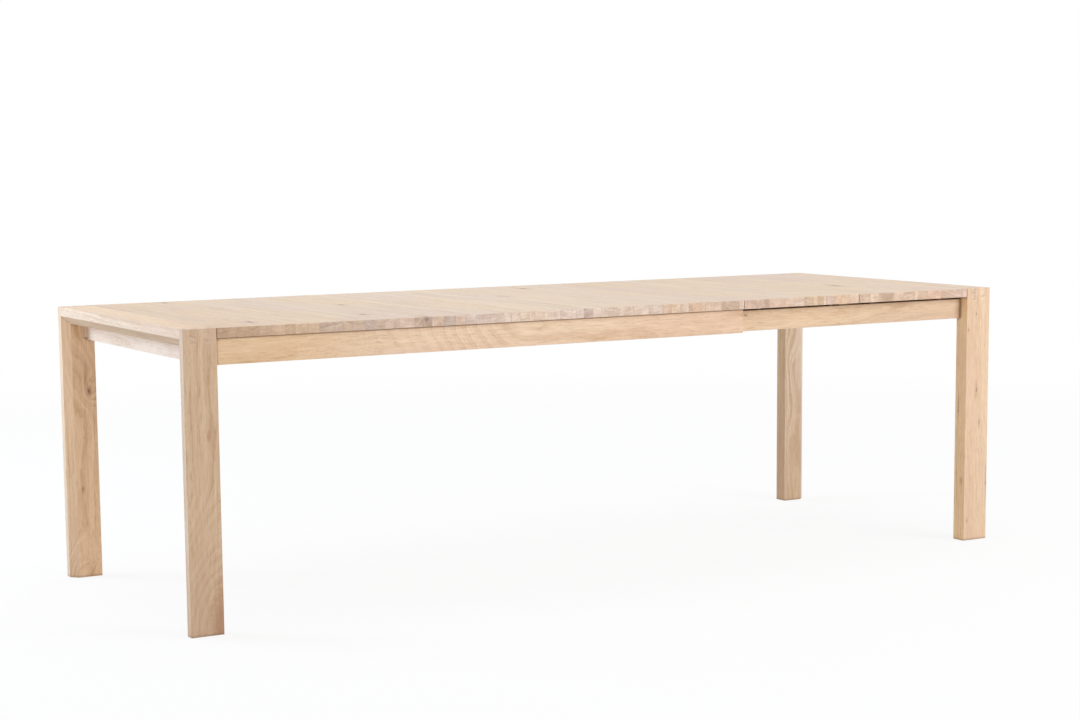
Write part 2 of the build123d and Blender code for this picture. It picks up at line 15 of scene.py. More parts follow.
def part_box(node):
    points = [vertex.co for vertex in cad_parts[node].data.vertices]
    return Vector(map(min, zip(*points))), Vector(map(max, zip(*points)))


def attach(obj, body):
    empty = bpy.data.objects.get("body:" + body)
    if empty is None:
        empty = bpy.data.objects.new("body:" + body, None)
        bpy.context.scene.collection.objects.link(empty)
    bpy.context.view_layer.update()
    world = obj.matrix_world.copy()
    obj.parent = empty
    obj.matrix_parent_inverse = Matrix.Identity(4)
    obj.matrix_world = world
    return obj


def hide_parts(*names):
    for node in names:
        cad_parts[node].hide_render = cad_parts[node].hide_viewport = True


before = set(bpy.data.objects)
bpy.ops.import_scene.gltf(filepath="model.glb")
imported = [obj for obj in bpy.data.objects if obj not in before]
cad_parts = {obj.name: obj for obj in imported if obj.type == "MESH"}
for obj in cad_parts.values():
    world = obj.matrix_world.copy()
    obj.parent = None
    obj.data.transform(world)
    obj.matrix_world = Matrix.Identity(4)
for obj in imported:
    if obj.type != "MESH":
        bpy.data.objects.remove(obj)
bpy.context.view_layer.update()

log = logging.getLogger("dining_table")
logging.basicConfig(level=logging.INFO, format="%(name)s: %(message)s")

MM = 0.001
WHITE = (1.0, 1.0, 1.0)
SHARP_TURN = 0.8

Socket = bpy.types.NodeSocket
Tree = bpy.types.NodeTree
Triple = tuple[float, float, float]
Value = float | Sequence[float] | Socket | list[Socket]


def pick(sockets: Iterable[Socket], name: str = "") -> Socket:
    """First socket that is in use, or the one of a given name."""
    return next(s for s in sockets if s.enabled and name in ("", s.name))


class Wiring:
    """Adds nodes to a node tree and joins them, so that a pattern reads as a formula."""

    def __init__(self, tree: Tree) -> None:
        """Keep the tree that the nodes go into."""
        self.tree = tree

    @classmethod
    def of(cls, owner: bpy.types.Material | bpy.types.World) -> "Wiring":
        """Start the empty tree of a material or world.

        Args:
            owner: The material or world.

        Returns:
            The wiring of its tree.
        """
        owner.use_nodes = True
        owner.node_tree.nodes.clear()
        return cls(owner.node_tree)

    def feed(self, target: Socket, value: Value) -> None:
        """Link a socket to others, or give it a plain value.

        Args:
            target: The input to fill.
            value: A socket to link from, several for a joint input, or a value.
        """
        if isinstance(value, list | Socket):
            for source in value if isinstance(value, list) else [value]:
                self.tree.links.new(source, target)
        else:
            target.default_value = (*value, 1.0) if target.type == "RGBA" else value

    def node(self, kind: str, *values: Value, **settings: object) -> bpy.types.Node:
        """Add a node.

        Args:
            kind: The node's type name, for a shader node from behind "ShaderNode".
            *values: What its first inputs are fed.
            **settings: Its properties, and with a capital its inputs, with _ for a space.

        Returns:
            The new node.
        """
        made = self.tree.nodes.new(kind if "Node" in kind else f"ShaderNode{kind}")
        for name, value in settings.items():
            if name[0].islower():
                setattr(made, name, value)
        for target, value in zip(made.inputs, values):
            self.feed(target, value)
        for name, value in settings.items():
            if name[0].isupper():
                self.feed(pick(made.inputs, name.replace("_", " ")), value)
        return made

    def out(self, kind: str, *values: Value, **settings: object) -> Socket:
        """First output of a new node."""
        return pick(self.node(kind, *values, **settings).outputs)

    def math(self, operation: str, *values: Value, clamp: bool = False) -> Socket:
        """Combine numbers."""
        return self.out("Math", *values, operation=operation, use_clamp=clamp)

    def vector(self, operation: str, *values: Value) -> Socket:
        """Combine vectors, to a number for a length or a product."""
        return self.out("VectorMath", *values, operation=operation)

    def times(self, *values: Value) -> Socket:
        """Multiply numbers."""
        return reduce(lambda product, value: self.math("MULTIPLY", product, value), values)

    def plus(self, *values: Value) -> Socket:
        """Add numbers."""
        return reduce(lambda total, value: self.math("ADD", total, value), values)

    def minus(self, first: Value, second: Value) -> Socket:
        """Subtract a number from another."""
        return self.math("SUBTRACT", first, second)

    def larger(self, first: Value, second: Value) -> Socket:
        """The larger of two numbers."""
        return self.math("MAXIMUM", first, second)

    def weigh(self, start: Value, *parts: tuple[Value, Value]) -> Socket:
        """Add parts to a number, each times its weight."""
        return reduce(lambda total, part: self.math("MULTIPLY_ADD", *part, total), parts, start)

    def clamped(self, value: Value) -> Socket:
        """Keep a number between 0 and 1."""
        return self.larger(self.math("MINIMUM", value, 1.0), 0.0)

    def split(self, value: Socket) -> tuple[Socket, ...]:
        """Split a vector into its three numbers."""
        return tuple(self.node("SeparateXYZ", value).outputs)

    def join(self, *values: Value) -> Socket:
        """Make a vector of three numbers."""
        return self.out("CombineXYZ", *values)

    def smooth(self, value: Value, *limits: float) -> Socket:
        """Ease a number over a range, from 0 to 1 or between two further limits."""
        return self.out("MapRange", value, *limits, interpolation_type="SMOOTHSTEP")

    def noise(self, where: Socket, stretch: Sequence[float], detail: float = 2.0,
              roughness: float = 0.5) -> Socket:
        """Noise from about -0.5 to 0.5.

        Args:
            where: Place in metres, or along a line.
            stretch: Waves per metre along each axis, or nothing for a line.
            detail: Number of finer octaves.
            roughness: Strength of the finer octaves.

        Returns:
            The noise.
        """
        if stretch:
            place = {"Vector": self.vector("MULTIPLY", where, stretch)}
        else:
            place = {"noise_dimensions": "1D", "W": where}
        made = self.out("TexNoise", Scale=1.0, Detail=detail, Roughness=roughness, **place)
        return self.minus(made, 0.5)

    def mix(self, share: Value, first: Value, second: Value, blend: str = "MIX") -> Socket:
        """Mix two colours by the share of the second one."""
        return self.out("Mix", data_type="RGBA", blend_type=blend, Factor=share, A=first, B=second)

    def tinted(self, first: Value, second: Value) -> Socket:
        """Multiply two colours."""
        return self.mix(1.0, first, second, "MULTIPLY")

    def here(self, kind: str = "Object") -> Socket:
        """Place of the shaded point in its object, or its normal."""
        return self.node("TexCoord").outputs[kind]

    def attribute(self, name: str, kind: str = "Vector") -> Socket:
        """What the mesh carries under a name."""
        return self.node("Attribute", attribute_name=name).outputs[kind]

    def stored(self, name: str, kind: str = "FLOAT_VECTOR") -> Socket:
        """What the geometry carries under a name."""
        return self.out("GeometryNodeInputNamedAttribute", data_type=kind, Name=name)

    def arris(self, radius: float, samples: int, worn: float) -> Socket:
        """Share of the paler edge colour, from 0 on a flat face to its full strength on an edge:
        wear, and on the wood also a painted highlight.
        """
        turn = self.vector("DOT_PRODUCT", self.out("Bevel", samples=samples, Radius=radius),
                           self.node("NewGeometry").outputs["Normal"])
        return self.smooth(turn, SHARP_TURN, 1.0, worn, 0.0)

    def surface(self, height: Socket, relief: float, **look: Value) -> None:
        """End a material with its bumps, their depth, and what its shader is fed."""
        look["Normal"] = self.out("Bump", Height=height, Distance=relief)
        self.node("OutputMaterial", Surface=self.out("BsdfPrincipled", **look))

    def finish(self, geometry: Socket, material: Socket) -> Tree:
        """End a geometry tree.

        Args:
            geometry: What it makes.
            material: The material of that.

        Returns:
            The tree.
        """
        real = self.out("GeometryNodeRealizeInstances", geometry)
        dressed = self.out("GeometryNodeSetMaterial", Geometry=real, Material=material)
        self.node("NodeGroupOutput", dressed)
        return self.tree


def new_tree(name: str, kind: str, inputs: dict[str, str], outputs: dict[str, str]) -> Wiring:
    """Start a node tree.

    Args:
        name: Name of the tree.
        kind: Its type name.
        inputs: Names of its inputs and their kinds.
        outputs: Names of its outputs and their kinds.

    Returns:
        Its wiring.
    """
    tree = bpy.data.node_groups.new(name, kind)
    for way, sockets in (("INPUT", inputs), ("OUTPUT", outputs)):
        for label, socket in sockets.items():
            tree.interface.new_socket(label, in_out=way, socket_type=f"NodeSocket{socket}")
    return Wiring(tree)


class Grain(Enum):
    """Direction of the wood's fibres in a board, as the turn that brings it to +X."""

    ALONG_X = (0.0, 0.0, 0.0)
    ALONG_Y = (0.0, 0.0, -math.pi / 2)
    ALONG_Z = (0.0, math.pi / 2, 0.0)

    @property
    def axis(self) -> int:
        """Number of the axis that the fibres follow."""
        return "XYZ".index(self.name[-1])


class StaveTone(Enum):
    """Colour casts of the staves that a plank top is glued from, told by their first letters."""

    UMBER = (0.81, 0.76, 0.70)
    BROWN = (0.89, 0.85, 0.79)
    TAN = (0.94, 0.92, 0.88)
    GREY = (0.87, 0.89, 0.92)
    MAUVE = (0.92, 0.92, 1.00)
    PINK = (1.02, 0.96, 0.92)
    STRAW = (1.07, 1.06, 1.02)
    LIGHT = (1.07, 1.11, 1.17)
    CREAM = (1.15, 1.21, 1.28)


def linear(*display: int) -> Triple:
    """Turn an 8-bit display colour into the linear values that shaders use."""
    shares = (value / 255 for value in display)
    return tuple(s / 12.92 if s <= 0.04045 else ((s + 0.055) / 1.055) ** 2.4 for s in shares)


@dataclass(frozen=True)
class Knot:
    """A knot in a board: dark core, stained wood round it and rings that bend round both.

    The radius is in millimetres. With no depth and no stain it is a swirl: a place where the
    rings alone bend.
    """

    place: Triple
    radius: float
    depth: float = 0.8
    stain: float = 0.4
    stretch: float = 2.5
    rings: float = 5.0
    reach: float = 5.0


@dataclass(frozen=True)
class Drift:
    """A stretch where the saw crossed the rings one after another, which leaves arches."""

    start: float
    end: float
    rings: float


@dataclass(frozen=True)
class WoodFinish:
    """Solid wood as a pattern in space: growth rings, pores, streaks and a thin oil.

    The fibres run along local +X, and the pith of the tree lies on the local X axis.
    """

    name: str
    light: Triple
    dark: Triple
    blush: Triple
    pore: Triple
    end_light: Triple
    end_dark: Triple
    knot: Triple
    stain: Triple
    ring: float = 3.2 * MM
    bold: float = 2.9
    wander: float = 12 * MM
    figure: float = 0.42
    streak: float = 1.0
    pores: float = 0.30
    roughness: float = 0.5
    relief: float = 0.12 * MM
    # Paler arrises: partly wear, partly a painted highlight where the edges catch the light.
    worn: Triple = (0.90, 0.80, 0.68)
    edge_wear_and_highlight: float = 0.45
    # Painted shade: the crevice colour darkens the wood where ambient occlusion finds a joint, a
    # crevice or an overhang.
    crevice_shade: Triple = (0.20, 0.085, 0.028)
    painted_shade: float = 0.9

    @staticmethod
    def lines(w: Wiring, radius: Socket, spacing: float) -> Socket:
        """Dark lines with one sharp side, one for each growth ring."""
        phase = w.math("FRACT", w.math("DIVIDE", radius, spacing))
        return w.times(w.smooth(phase, 0.0, 0.14), w.smooth(phase, 0.2, 0.75, 1.0, 0.0))

    def rings(self, w: Wiring, place: Socket, swirl: Socket, wave: Socket) -> tuple[Socket, ...]:
        """Growth rings: thin lines of early wood, and years that are darker or paler.

        Args:
            w: The group's tree.
            place: Place in the log.
            swirl: Shift of the rings round a knot.
            wave: How wavy the fibres are, 1 for a common board.

        Returns:
            Ring lines as they come and go, the same lines throughout, and the years' tone.
        """
        _, across, through = w.split(place)
        bend = w.times(w.noise(place, (1.5, 7.0, 7.0), 1.0), 2 * self.wander,
                       w.math("MINIMUM", wave, 1.0))
        ripple = w.times(w.noise(place, (13.0, 55.0, 55.0)), 5.0 * MM)
        waver = w.times(w.noise(place, (55.0, 150.0, 150.0), 1.0), 2.2 * MM)
        sway = w.times(w.noise(place, (6.0, 12.0, 12.0), 1.0), 16 * MM,
                       w.larger(w.minus(wave, 1.0), 0.0))
        radius = w.vector("LENGTH", w.join(0.0, across, through))
        radius = w.plus(radius, bend, ripple, waver, sway, swirl)
        fine = self.lines(w, radius, self.ring)
        bold = self.lines(w, radius, self.bold * self.ring)
        ring = w.weigh(w.times(bold, 0.75), (fine, 0.35))
        shown = w.smooth(w.noise(place, (4.0, 22.0, 22.0)), -0.14, 0.2, 0.25, 1.0)
        years = w.noise(w.math("DIVIDE", radius, 2.6 * self.ring), (), 3.0, 0.6)
        return w.times(ring, shown), ring, years

    def faces(self, w: Wiring, place: Socket, end: Socket, rings: tuple[Socket, ...],
              dots: Socket, streak: Socket, figure: Socket) -> Socket:
        """Colour of the wood: streaks along the fibres, rays and blotches where they are cut.

        Args:
            w: The group's tree.
            place: Place in the log.
            end: Share of end grain.
            rings: Growth rings.
            dots: Pores.
            streak: Fine streaks.
            figure: How strongly rings and years show.

        Returns:
            The colour.
        """
        line, ring, years = rings
        mottle = w.noise(place, (14.0, 60.0, 60.0), 2.0, 0.6)
        cloud = w.noise(place, (2.2, 16.0, 16.0))
        dashes = w.smooth(w.noise(place, (30.0, 340.0, 340.0), 1.0), 0.04, 0.24)
        shown = w.times(w.weigh(w.times(line, 1.4), (years, 1.1)), figure, self.figure)
        depth = w.weigh(w.plus(shown, 0.24), (streak, 0.95 * self.streak), (mottle, 0.36),
                        (cloud, 0.36), (dashes, 0.36 * self.streak))
        face = w.mix(w.clamped(depth), self.light, self.dark)
        flush = w.smooth(w.noise(place, (1.6, 24.0, 24.0)), -0.12, 0.22, 0.0, 0.55)
        face = w.mix(flush, face, self.blush)
        face = w.mix(w.times(dots, self.pores), face, self.pore)

        _, across, through = w.split(place)
        rays = w.noise(w.times(w.math("ARCTAN2", through, across), 60.0), ())
        blotch = w.noise(place, (6.0, 45.0, 45.0))
        fleck = w.noise(place, (60.0, 420.0, 420.0), 2.0, 0.6)
        depth = w.weigh(0.28, (ring, 0.22), (rays, 0.7), (blotch, 1.3), (fleck, 0.35), (years, 0.6))
        return w.mix(end, face, w.mix(w.clamped(depth), self.end_light, self.end_dark))

    @cache
    def group(self) -> Tree:
        """Node group of the wood's colour, roughness and relief.

        Returns:
            The group, built once for each finish.
        """
        shares = ("End Grain", "Knot", "Stain", "Swirl", "Wave", "Figure", "Edge", "Corner")
        w = new_tree(self.name, "ShaderNodeTree",
                     {"Place": "Vector", "Tint": "Color", **dict.fromkeys(shares, "Float")},
                     {"Colour": "Color", "Roughness": "Float", "Height": "Float"})
        given = w.node("NodeGroupInput").outputs
        place, end = given["Place"], given["End Grain"]
        rings = self.rings(w, place, given["Swirl"], given["Wave"])
        streak = w.noise(place, (17.0, 240.0, 240.0), 2.0, 0.6)
        dots = w.smooth(w.noise(place, (60.0, 950.0, 950.0), 1.0, 0.4), 0.08, 0.22)
        dots = w.times(dots, w.weigh(0.3, (rings[1], 0.7)))

        colour = self.faces(w, place, end, rings, dots, streak, given["Figure"])
        colour = w.tinted(colour, given["Tint"])
        for share, shade in (
            (given["Stain"], self.stain),
            (given["Knot"], self.knot),
            # paler arrises: wear and a painted highlight
            (w.times(given["Edge"], self.edge_wear_and_highlight), self.worn),
            # painted shade in joints and under overhangs
            (w.times(given["Corner"], self.painted_shade), self.crevice_shade),
        ):
            colour = w.mix(share, colour, shade)
        rough = w.weigh(self.roughness, (streak, 0.25), (dots, 0.18))
        rough = w.math("MULTIPLY_ADD", end, 0.12, rough, clamp=True)
        height = w.weigh(w.times(dots, -0.65), (rings[1], -0.35))
        w.node("NodeGroupOutput", Colour=colour, Roughness=rough, Height=height)
        return w.tree


@dataclass(frozen=True)
class Cast:
    """Colour cast of a part of a board: the faces that look one way, a stretch of it, or both.
    A cast on the faces that look one way is painted light or painted shade.

    The stretch runs from where the cast sets in to where it is full, along the fibres, or
    across them on a panel of staves.
    """

    tint: Triple
    way: Triple | None = None
    stretch: tuple[float, float] | None = None


@dataclass(frozen=True)
class Board:
    """How one board was cut: its fibres, its place in the log, its colour cast and knots, and the
    painted light and shade on some faces and in its joints.
    """

    grain: Grain
    pith: tuple[float, float] = (0.03, -0.07)
    slide: float = 0.0
    tint: Triple = WHITE
    end_tint: Triple = WHITE
    wave: float = 1.0
    figure: float = 1.0
    # share of painted shade in the board's joints and under overhangs
    painted_shade: float = 0.5
    casts: tuple[Cast, ...] = ()
    drifts: tuple[Drift, ...] = ()
    knots: tuple[Knot, ...] = ()


@dataclass(frozen=True)
class WoodMaterial:
    """The material of one board, or of a panel whose mesh carries a shift and tint per stave."""

    name: str
    finish: WoodFinish
    board: Board
    staves: bool = False

    PATCHES = ((0.985, 0.985, 1.0), (1.03, 1.01, 0.93))
    FACE_TINT = 0.14

    def place(self, w: Wiring, middle: Vector) -> Socket:
        """Place in the log: fibres along X, and the pith on the X axis.

        Args:
            w: The material's tree.
            middle: Middle of the board.

        Returns:
            The place, in metres.
        """
        centred = w.vector("SUBTRACT", w.here(), tuple(middle))
        turned = w.out("Mapping", vector_type="POINT", Vector=centred,
                       Rotation=self.board.grain.value)
        moved = w.vector("ADD", turned, (self.board.slide, *self.board.pith))
        return w.vector("ADD", moved, w.attribute("stave_shift")) if self.staves else moved

    def knots(self, w: Wiring) -> tuple[Value, Value, Value]:
        """Dark knots, the stain round them and the swirl of the grain.

        Args:
            w: The material's tree.

        Returns:
            Strength of the knot's colour and of its stain, and shift of the growth rings.
        """
        dark = stain = swirl = 0.0
        here = w.here()
        ring, axis = self.finish.ring, self.board.grain.axis
        for knot in self.board.knots:
            radius = knot.radius * MM
            flat = tuple(1 / knot.stretch if i == axis else 1.0 for i in range(3))
            away = w.vector("SUBTRACT", here, knot.place)
            reach = w.vector("LENGTH", w.vector("MULTIPLY", away, flat))
            reach = w.plus(reach, w.times(w.noise(here, (110, 110, 110)), 1.6 * radius))
            dark = w.larger(w.smooth(reach, radius * 0.2, radius, knot.depth, 0.0), dark)
            stain = w.larger(w.smooth(reach, radius * 0.6, radius * 3, knot.stain, 0.0), stain)
            bend = w.smooth(reach, 0.0, radius * knot.reach, ring * knot.rings, 0.0)
            swirl = w.plus(bend, swirl)
        for drift in self.board.drifts:
            ends = sorted((drift.start, drift.end))
            swirl = w.plus(w.smooth(w.split(here)[axis], *ends, 0.0, drift.rings * ring), swirl)
        return dark, stain, swirl

    def corner(self, w: Wiring) -> Socket:
        """Share of painted shade, from 0 in the open to 1 deep in a joint or under an overhang,
        read from ambient occlusion.
        """
        shade = w.node("AmbientOcclusion", samples=8, Distance=12 * MM)
        return w.smooth(shade.outputs["AO"], 0.62, 0.92, 1.0, 0.0)

    def tint(self, w: Wiring, end: Socket, middle: Vector) -> tuple[Value, Value]:
        """Colour cast of the board, or of each stave, with painted light and shade on faces that
        look one way, and the glue lines between staves.

        Args:
            w: The material's tree.
            end: Share of end grain.
            middle: Middle of the board.

        Returns:
            The cast, and the strength of the glue lines.
        """
        cast = w.mix(end, self.board.tint, self.board.end_tint)
        here = w.here()
        numbers = w.split(here)
        along = numbers[0 if self.staves else self.board.grain.axis]
        for part in self.board.casts:
            share: Value = 1.0
            # a cast by facing is painted light or painted shade
            if part.way:
                way = tuple(Vector(part.way).normalized())
                turned = w.vector("DOT_PRODUCT", w.here("Normal"), way)
                share = w.times(w.smooth(turned, 0.8, 0.95), share)
            if part.stretch:
                share = w.times(w.smooth(along, *part.stretch), share)
            cast = w.mix(share, cast, w.tinted(cast, part.tint))
        if not self.staves:
            return cast, 0.0
        patch = w.smooth(w.noise(here, (5.0, 2.5, 5.0), 1.0), -0.15, 0.2)
        cast = w.tinted(cast, w.mix(patch, *self.PATCHES))
        own = w.weigh(self.FACE_TINT, (end, 1.0 - self.FACE_TINT))
        shown = w.mix(own, WHITE, w.attribute("stave_tint", "Color"))
        centre, half, _ = w.split(w.attribute("stave_span"))
        offset = w.minus(w.minus(numbers[0], middle.x), centre)
        gap = w.minus(half, w.math("ABSOLUTE", offset))
        glue = w.smooth(gap, 0.3 * MM, 1.1 * MM, 1.0, 0.0)
        return w.tinted(cast, shown), w.times(glue, w.weigh(0.3, (end, 0.25)))

    def build(self, middle: Vector) -> bpy.types.Material:
        """Make the material.

        Args:
            middle: Middle of the board that it is for.

        Returns:
            The material.
        """
        material = bpy.data.materials.new(self.name)
        w = Wiring.of(material)
        along = w.split(w.here("Normal"))[self.board.grain.axis]
        end = w.smooth(w.math("ABSOLUTE", along), 0.55, 0.85)
        cast, glue = self.tint(w, end, middle)
        dark, stain, swirl = self.knots(w)
        colour, rough, height = w.node(
            "Group", node_tree=self.finish.group(), Place=self.place(w, middle),
            End_Grain=end, Tint=cast, Knot=dark, Stain=w.larger(stain, glue), Swirl=swirl,
            Wave=self.board.wave, Figure=self.board.figure, Edge=w.arris(2.2 * MM, 6, 1.0),
            # painted shade from ambient occlusion
            Corner=w.times(self.corner(w), self.board.painted_shade),
        ).outputs
        w.surface(height, self.finish.relief, Base_Color=colour, Roughness=rough)
        return material


@dataclass(frozen=True)
class PlainFinish:
    """Metal or plastic with a fine mottle, soft scuffs and paler edges."""

    name: str
    base: Triple
    shade: Triple
    worn: Triple
    metallic: float
    roughness: float
    mottle: float
    relief: float = 0.03 * MM

    @cache
    def build(self) -> bpy.types.Material:
        """Make the material.

        Returns:
            The material, the same each time.
        """
        material = bpy.data.materials.new(self.name)
        w = Wiring.of(material)
        here = w.here()
        blot = w.noise(here, (self.mottle,) * 3, 4.0, 0.6)
        scuff = w.noise(here, (self.mottle * 6, self.mottle * 6, self.mottle))
        share = w.math("ADD", w.times(blot, 1.6), 0.45, clamp=True)
        colour = w.mix(share, self.base, self.shade)
        colour = w.mix(w.arris(0.5 * MM, 4, 0.5), colour, self.worn)
        rough = w.math("MULTIPLY_ADD", scuff, 0.35, self.roughness, clamp=True)
        w.surface(w.plus(blot, scuff), self.relief, Base_Color=colour, Metallic=self.metallic,
                  Roughness=rough)
        return material


WHITE_OAK = WoodFinish(
    "white_oiled_oak",
    light=linear(242, 215, 187), dark=linear(207, 171, 137),
    blush=linear(229, 195, 172), pore=linear(150, 114, 84),
    end_light=linear(231, 207, 187), end_dark=linear(184, 152, 128),
    knot=linear(100, 72, 58), stain=linear(176, 128, 98),
)
TOP_OAK = replace(WHITE_OAK, name="white_oiled_oak_top", streak=0.4, figure=0.3,
                  knot=linear(104, 86, 94), stain=linear(190, 160, 148))
BEECH = WoodFinish(
    "oiled_beech",
    light=linear(226, 194, 160), dark=linear(200, 162, 126),
    blush=linear(218, 178, 144), pore=linear(150, 112, 80),
    end_light=linear(212, 180, 148), end_dark=linear(178, 142, 110),
    knot=linear(120, 84, 62), stain=linear(176, 132, 98),
    ring=4.2 * MM, wander=8 * MM, figure=0.22, streak=0.6, pores=0.45, roughness=0.55,
)
ZINC = PlainFinish(
    "zinc_plated_steel", base=linear(188, 184, 170), shade=linear(150, 146, 132),
    worn=linear(214, 212, 204), metallic=1.0, roughness=0.36, mottle=420.0,
)
NYLON = PlainFinish(
    "brown_nylon", base=linear(96, 74, 58), shade=linear(78, 60, 47),
    worn=linear(124, 100, 82), metallic=0.0, roughness=0.6, mottle=700.0,
)


def dress(name: str, material: bpy.types.Material) -> None:
    """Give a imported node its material.

    Args:
        name: The node.
        material: Its finish.
    """
    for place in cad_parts[name].material_slots:
        place.material = material
    log.info("dressed %s in %s", name, material.name)


def dress_boards(finish: WoodFinish, boards: dict[str, Board], start: str = "") -> None:
    """Give packed boards wood, each of its own cut.

    Args:
        finish: The wood.
        boards: The nodes' names and how their boards were cut.
        start: What all the names start with.
    """
    for part, board in boards.items():
        name = start + part
        low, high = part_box(name)
        dress(name, WoodMaterial(f"{finish.name}_{name}", finish, board).build((low + high) / 2))


def put(name: str, data: bpy.types.ID) -> bpy.types.Object:
    """Put a new object in the scene.

    Args:
        name: Its name.
        data: Its mesh, lamp or camera.

    Returns:
        The object.
    """
    made = bpy.data.objects.new(name, data)
    bpy.context.scene.collection.objects.link(made)
    return made


def grow(name: str, mesh: bpy.types.Mesh, tree: Tree, values: dict[str, object],
         edge_round: float = 0.0) -> bpy.types.Object:
    """Run a Geometry Nodes tree over a mesh and keep the result as a plain mesh.

    Args:
        name: Name of the new object.
        mesh: What the tree starts from.
        tree: The node tree.
        values: Names of the tree's inputs and their values.
        edge_round: Radius of the edges, 0 for sharp ones.

    Returns:
        The new object.
    """
    maker = put(mesh.name, mesh)
    modifier = maker.modifiers.new(tree.name, "NODES")
    modifier.node_group = tree
    for item in tree.interface.items_tree:
        if item.in_out == "INPUT" and item.name in values:
            modifier[item.identifier] = values[item.name]
    if edge_round:
        bevel = maker.modifiers.new("edges", "BEVEL")
        bevel.width = edge_round
        bevel.segments = 3
        bevel.limit_method = "ANGLE"
        bevel.angle_limit = math.radians(60)
    bpy.context.view_layer.update()
    depsgraph = bpy.context.evaluated_depsgraph_get()
    shaped = bpy.data.meshes.new_from_object(
        maker.evaluated_get(depsgraph), preserve_all_data_layers=True, depsgraph=depsgraph)
    shaped.name = name
    piece = put(name, shaped)
    bpy.data.objects.remove(maker, do_unlink=True)
    return piece


@dataclass
class PlankTop:
    """A board of the top, glued up from staves whose fibres run across the table.

    The staves are a row of widths in millimetres, each with the first letter of its tone.
    """

    name: str
    node: str
    body: str
    staves: str
    seed: int
    knots: tuple[Knot, ...] = ()
    casts: tuple[Cast, ...] = ()
    tint: Triple = (0.903, 0.979, 1.057)
    end_tint: Triple = (1.03, 1.045, 1.085)
    edge_round: float = 1.2 * MM

    @staticmethod
    @cache
    def tree() -> Tree:
        """Geometry Nodes tree that turns a row of seams into a glued panel.

        Returns:
            The tree, built once.
        """
        sizes = dict.fromkeys(("Length", "Thickness", "Pith Reach", "Pith Depth"), "Float")
        w = new_tree("glued_staves", "GeometryNodeTree",
                     {"Geometry": "Geometry", **sizes, "Seed": "Int", "Wood": "Material"},
                     {"Geometry": "Geometry"})
        given = w.node("NodeGroupInput").outputs
        seams = given["Geometry"]
        rings = w.out("GeometryNodeAttributeDomainSize", seams, component="MESH")
        last = w.minus(rings, 1.0)
        panel = w.out("GeometryNodeMeshCube", Vertices_X=rings, Vertices_Y=2, Vertices_Z=2)
        here = w.out("GeometryNodeInputPosition")
        x, y, z = w.split(here)
        share = w.times(w.plus(x, 0.5), last)

        def seam(index: Socket, value: Socket, kind: str = "FLOAT_VECTOR") -> Socket:
            """Read a value from the row of seams."""
            return w.out("GeometryNodeSampleIndex", data_type=kind, domain="POINT",
                         Geometry=seams, Value=value, Index=index)

        def store(name: str, value: Socket, kind: str = "FLOAT_VECTOR") -> Socket:
            """Keep a value on every face of the panel."""
            return w.out("GeometryNodeStoreNamedAttribute", data_type=kind, domain="FACE",
                         Geometry=panel, Name=name, Value=value)

        number = w.math("MINIMUM", w.math("FLOOR", share), w.minus(last, 1.0))
        panel = store("stave", w.larger(number, 0.0), "INT")
        stave = w.stored("stave", "INT")
        tint = seam(stave, w.stored("tint", "FLOAT_COLOR"), "FLOAT_COLOR")
        panel = store("stave_tint", tint, "FLOAT_COLOR")
        start = w.split(seam(stave, here))[0]
        end = w.split(seam(w.plus(stave, 1.0), here))[0]
        centre = w.times(w.plus(start, end), 0.5)
        spread = w.join(1.0, given["Pith Reach"], given["Pith Depth"])
        chance = w.out("FunctionNodeRandomValue", data_type="FLOAT_VECTOR",
                       Min=w.vector("MULTIPLY", spread, (-1.0, -1.0, -1.6)),
                       Max=w.vector("MULTIPLY", spread, (1.0, 1.0, -0.4)),
                       ID=stave, Seed=given["Seed"])
        panel = store("stave_shift", w.vector("ADD", chance, w.join(0.0, centre, 0.0)))
        half = w.times(w.minus(end, start), 0.5)
        panel = store("stave_span", w.join(centre, half, 0.0))
        ring = w.split(seam(w.math("ROUND", share), here))[0]
        place = w.join(ring, w.times(y, given["Length"]), w.times(z, given["Thickness"]))
        shaped = w.out("GeometryNodeSetPosition", Geometry=panel, Position=place)
        return w.finish(shaped, given["Wood"])

    def seams(self, length: float) -> bpy.types.Mesh:
        """Row of points at the seams, centred, each with the tint of the stave that it starts.

        Args:
            length: Length of the panel along the row.

        Returns:
            The points, joined in a line.
        """
        widths, letters = zip(*((int(word[:-1]) * MM, word[-1]) for word in self.staves.split()))
        places = [-length / 2]
        for width in widths:
            places.append(places[-1] + width * length / sum(widths))
        mesh = bpy.data.meshes.new(f"{self.name}_seams")
        edges = [(i, i + 1) for i in range(len(widths))]
        mesh.from_pydata([(x, 0.0, 0.0) for x in places], edges, [])
        tones = {tone.name[0]: tone.value for tone in StaveTone}
        tint = mesh.attributes.new("tint", "FLOAT_COLOR", "POINT")
        for point, letter in zip(tint.data, letters):
            point.color = (*tones[letter], 1.0)
        return mesh

    def build(self) -> None:
        """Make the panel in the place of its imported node."""
        low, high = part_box(self.node)
        size, middle = high - low, (low + high) / 2
        board = Board(Grain.ALONG_Y, (0.0, 0.0), tint=self.tint, end_tint=self.end_tint,
                      casts=self.casts, knots=self.knots)
        name = f"{TOP_OAK.name}_{self.name}"
        wood = WoodMaterial(name, TOP_OAK, board, staves=True).build(middle)
        piece = grow(self.name, self.seams(size.x), self.tree(), {
            "Length": size.y, "Thickness": size.z, "Pith Reach": 45 * MM, "Pith Depth": 90 * MM,
            "Seed": self.seed, "Wood": wood,
        }, self.edge_round)
        piece.data.transform(Matrix.Translation(middle))
        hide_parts(self.node)
        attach(piece, self.body)
        log.info("glued %s from %d staves", self.name, len(self.staves.split()))


